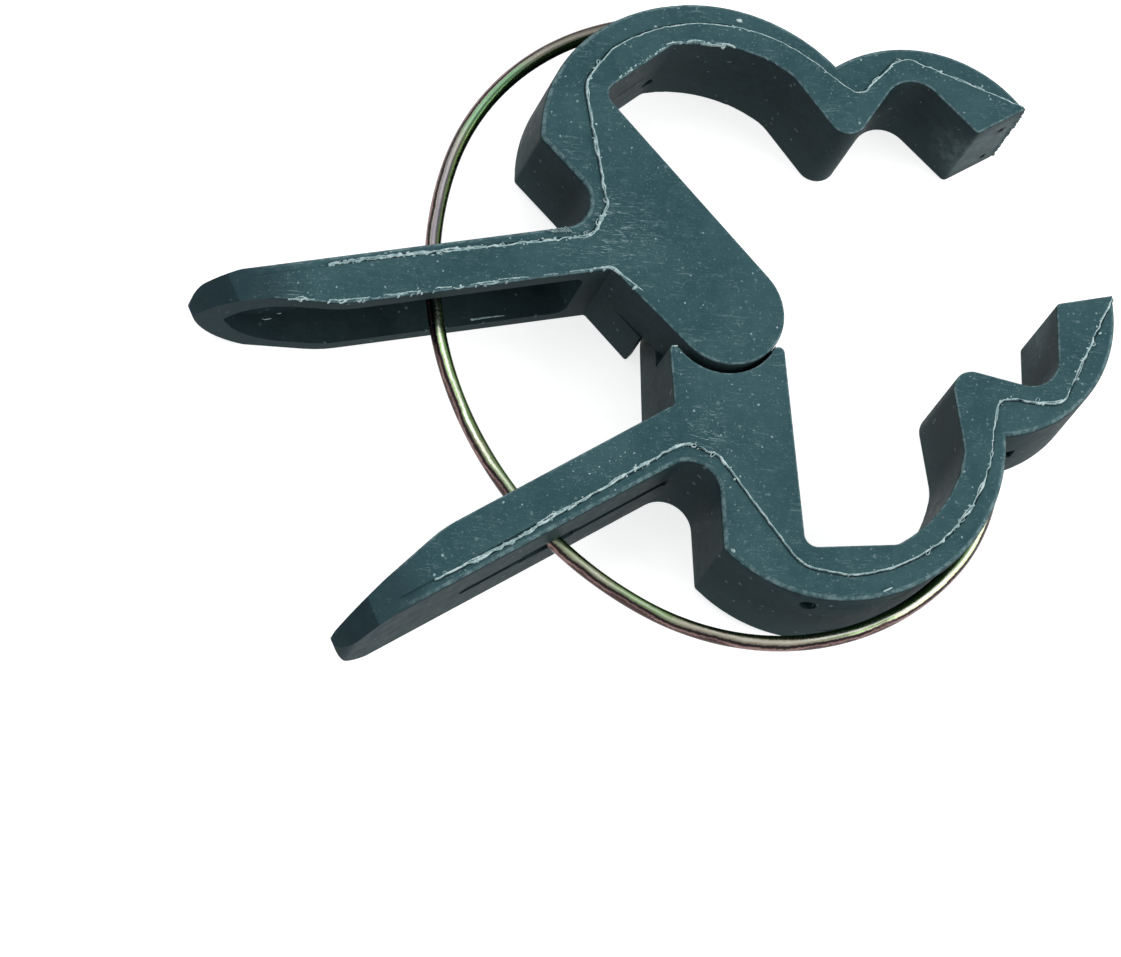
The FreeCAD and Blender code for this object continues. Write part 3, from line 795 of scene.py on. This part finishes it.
def trough_flakes(pale):
    """Peeled flash lying on the back flange inside the upper handle's trough."""
    ridges = Ridges(random.Random(31))
    for line in TROUGH_FLAKES:
        path = sample_line(rounded(line))
        ridges.ridge(path, lambda s: 0.16 - 0.10 * s, lambda s: 0.05, 0.004, FLANGE - SUNK)
    ridges.piece("flakes_upper_trough", pale, "upper")


def gap_shade(dark):
    """A dark plug in the narrow end of the gap between knuckle and socket lip: painted shade of
    the crevice.
    """
    gap_plug = Ridges(random.Random(32))
    gap_plug.ridge(arc(*GAP_SHADE, 21), lambda s: 0.12, lambda s: 1.25, base=GAP_SHADE_FLOOR)
    gap_plug.piece("shade_in_gap", dark, "lower")


def torn_edge(torn):
    """Crumbs of torn plastic down the outer corner of the upper jaw's end face, front to back."""
    rng = random.Random(14)
    verts = []
    faces = []
    rings = 5
    sides = 7
    crumbs = 34
    for k in range(crumbs):
        t = k / (crumbs - 1)
        size = rng.uniform(0.15, 0.26) if rng.random() < 0.6 else rng.uniform(0.32, 0.44)
        x = TORN_CORNER[0] + 0.13 * t + rng.uniform(-0.07, 0.07)
        y = TORN_CORNER[1] + size
        z = TORN_TOP - TORN_DROP * t + rng.uniform(-0.12, 0.12)
        first = len(verts)
        for ring in range(rings):
            tilt = math.pi * (ring + 0.5) / rings
            for i in range(sides):
                turn = 2 * math.pi * i / sides
                r = size * rng.uniform(0.72, 1.12)
                across = r * math.sin(tilt)
                level = z + 1.3 * r * math.cos(tilt)
                level = min(max(level, 0.05), THICKNESS - 0.05)
                verts.append((x + across * math.cos(turn), y + across * math.sin(turn), level))
        skin(faces, first, rings, sides)
    piece = new_mesh("torn_edge_upper", verts, faces, torn, outward=True)
    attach(piece, "upper")


# ---------------------------------------------------------------- spring ring
def angle_from(centre, point):
    return math.degrees(math.atan2(point[1] - centre[1], point[0] - centre[0]))


def ring_line():
    """Centre line of the wire, upper end first."""
    side_turn = angle_from(RING_SIDE_CENTRE, RING_CROWN_CENTRE)
    seat_turn = angle_from(RING_CROWN_CENTRE, HOOP_CENTRE)
    runs = [
        (HOOP_CENTRE, SEAT_R, RING_END_ANGLE, seat_turn),
        (RING_CROWN_CENTRE, RING_CROWN_R, seat_turn, side_turn),
        (RING_SIDE_CENTRE, RING_SIDE_R, side_turn, 180.0),
    ]
    half = []
    for centre, radius, start, end in runs:
        count = max(4, round(math.radians(abs(end - start)) * radius / RING_STEP))
        half += arc(centre, radius, start, end, count)[:-1]
    return half + [(-RING_SIDE_R + RING_SIDE_CENTRE[0], 0.0)] + turned_over(half[::-1])


def wire_ring(material):
    """The ring as a smooth tube that bends between the jaws."""
    line = ring_line()
    sides = 28
    last = len(line) - 1
    verts = []
    faces = []
    for i, (x, y) in enumerate(line):
        along = heading(line, i)
        r = WIRE_END_R if i in (0, last) else WIRE_R
        for k in range(sides):
            a = 2 * math.pi * k / sides
            out = r * math.cos(a)
            verts.append((x + along.y * out, y - along.x * out, MID + r * math.sin(a)))
    skin(faces, 0, len(line), sides)
    ring = new_mesh("wire_ring", verts, faces, material, outward=True)
    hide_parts("spring_ring")
    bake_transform(ring)


# ---------------------------------------------------------------- stage
def area_light(name, place, size, power, colour):
    """A square soft light that looks at the origin."""
    data = bpy.data.lights.new(name, "AREA")
    data.shape = "RECTANGLE"
    data.size = size
    data.size_y = size
    data.energy = power
    data.color = colour
    lamp = bpy.data.objects.new(name, data)
    bpy.context.scene.collection.objects.link(lamp)
    lamp.location = place
    lamp.rotation_euler = (-Vector(place)).to_track_quat("-Z", "Y").to_euler()


def stage():
    """Pale floor, soft lights and a pale world."""
    paper = patchy("floor_paper", (0.8, 4.0, 0.6), (0.3, 0.7), PAPER, 0.9, 0.02, 0.2)
    paper.shader.inputs["Emission Color"].default_value = (1.0, 1.0, 1.0, 1.0)
    paper.shader.inputs["Emission Strength"].default_value = 0.72
    corners = [(x * 900, y * 900, -0.05) for x, y in ((-1, -1), (1, -1), (1, 1), (-1, 1))]
    floor = new_mesh("floor", corners, [(0, 1, 2, 3)], paper.material, smooth=False)
    area_light("key", (0.45, -0.32, 0.36), 0.45, 3.0, (1.0, 0.985, 0.96))
    area_light("top", (-0.10, 0.45, 0.55), 0.7, 2.6, (0.97, 0.99, 1.0))
    world = bpy.data.worlds.new("studio")
    world.use_nodes = True
    background = world.node_tree.nodes["Background"]
    background.inputs["Color"].default_value = (0.95, 0.97, 1.0, 1.0)
    background.inputs["Strength"].default_value = 0.80
    scene = bpy.context.scene
    scene.world = world
    scene.view_settings.view_transform = "Standard"
    scene.view_settings.look = "None"
    scene.view_settings.exposure = 0.0


def camera():
    data = bpy.data.cameras.new("camera")
    data.lens = 226.8
    data.sensor_width = 36.0
    data.clip_start = 0.01
    data.clip_end = 10.0
    eye = bpy.data.objects.new("camera", data)
    eye.location = (-0.18162, -0.12256, 0.41527)
    eye.rotation_euler = tuple(math.radians(a) for a in (22.2622, -14.5241, -23.7603))
    bpy.context.scene.collection.objects.link(eye)
    bpy.context.scene.camera = eye


# ---------------------------------------------------------------- build
camera()
stage()
pale = flash_plastic()
# dark material for painted shade
dark = patchy("painted_shade", (3.0, 3.0, 0.6), (0.35, 0.65), PAINTED_SHADE_TONES, 0.7, 0.01, 0.5).material
torn = patchy("torn_plastic", (3.5, 4.0, 0.7), (0.36, 0.66), TORN, 0.6, 0.03, 0.8).material
for jaw, seed in (("upper", 1), ("lower", 2)):
    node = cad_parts["%s_jaw" % jaw]
    node.data.materials.clear()
    node.data.materials.append(jaw_plastic("jaw_plastic_%s" % jaw, seed))
    flash(jaw, seed * 10 + 1, True, pale, dark)
    flash(jaw, seed * 10 + 2, False, pale, dark)
    burrs(jaw, seed * 10 + 3, pale)
torn_edge(torn)
trough_flakes(pale)
gap_shade(dark)
wire_ring(zinc_wire())
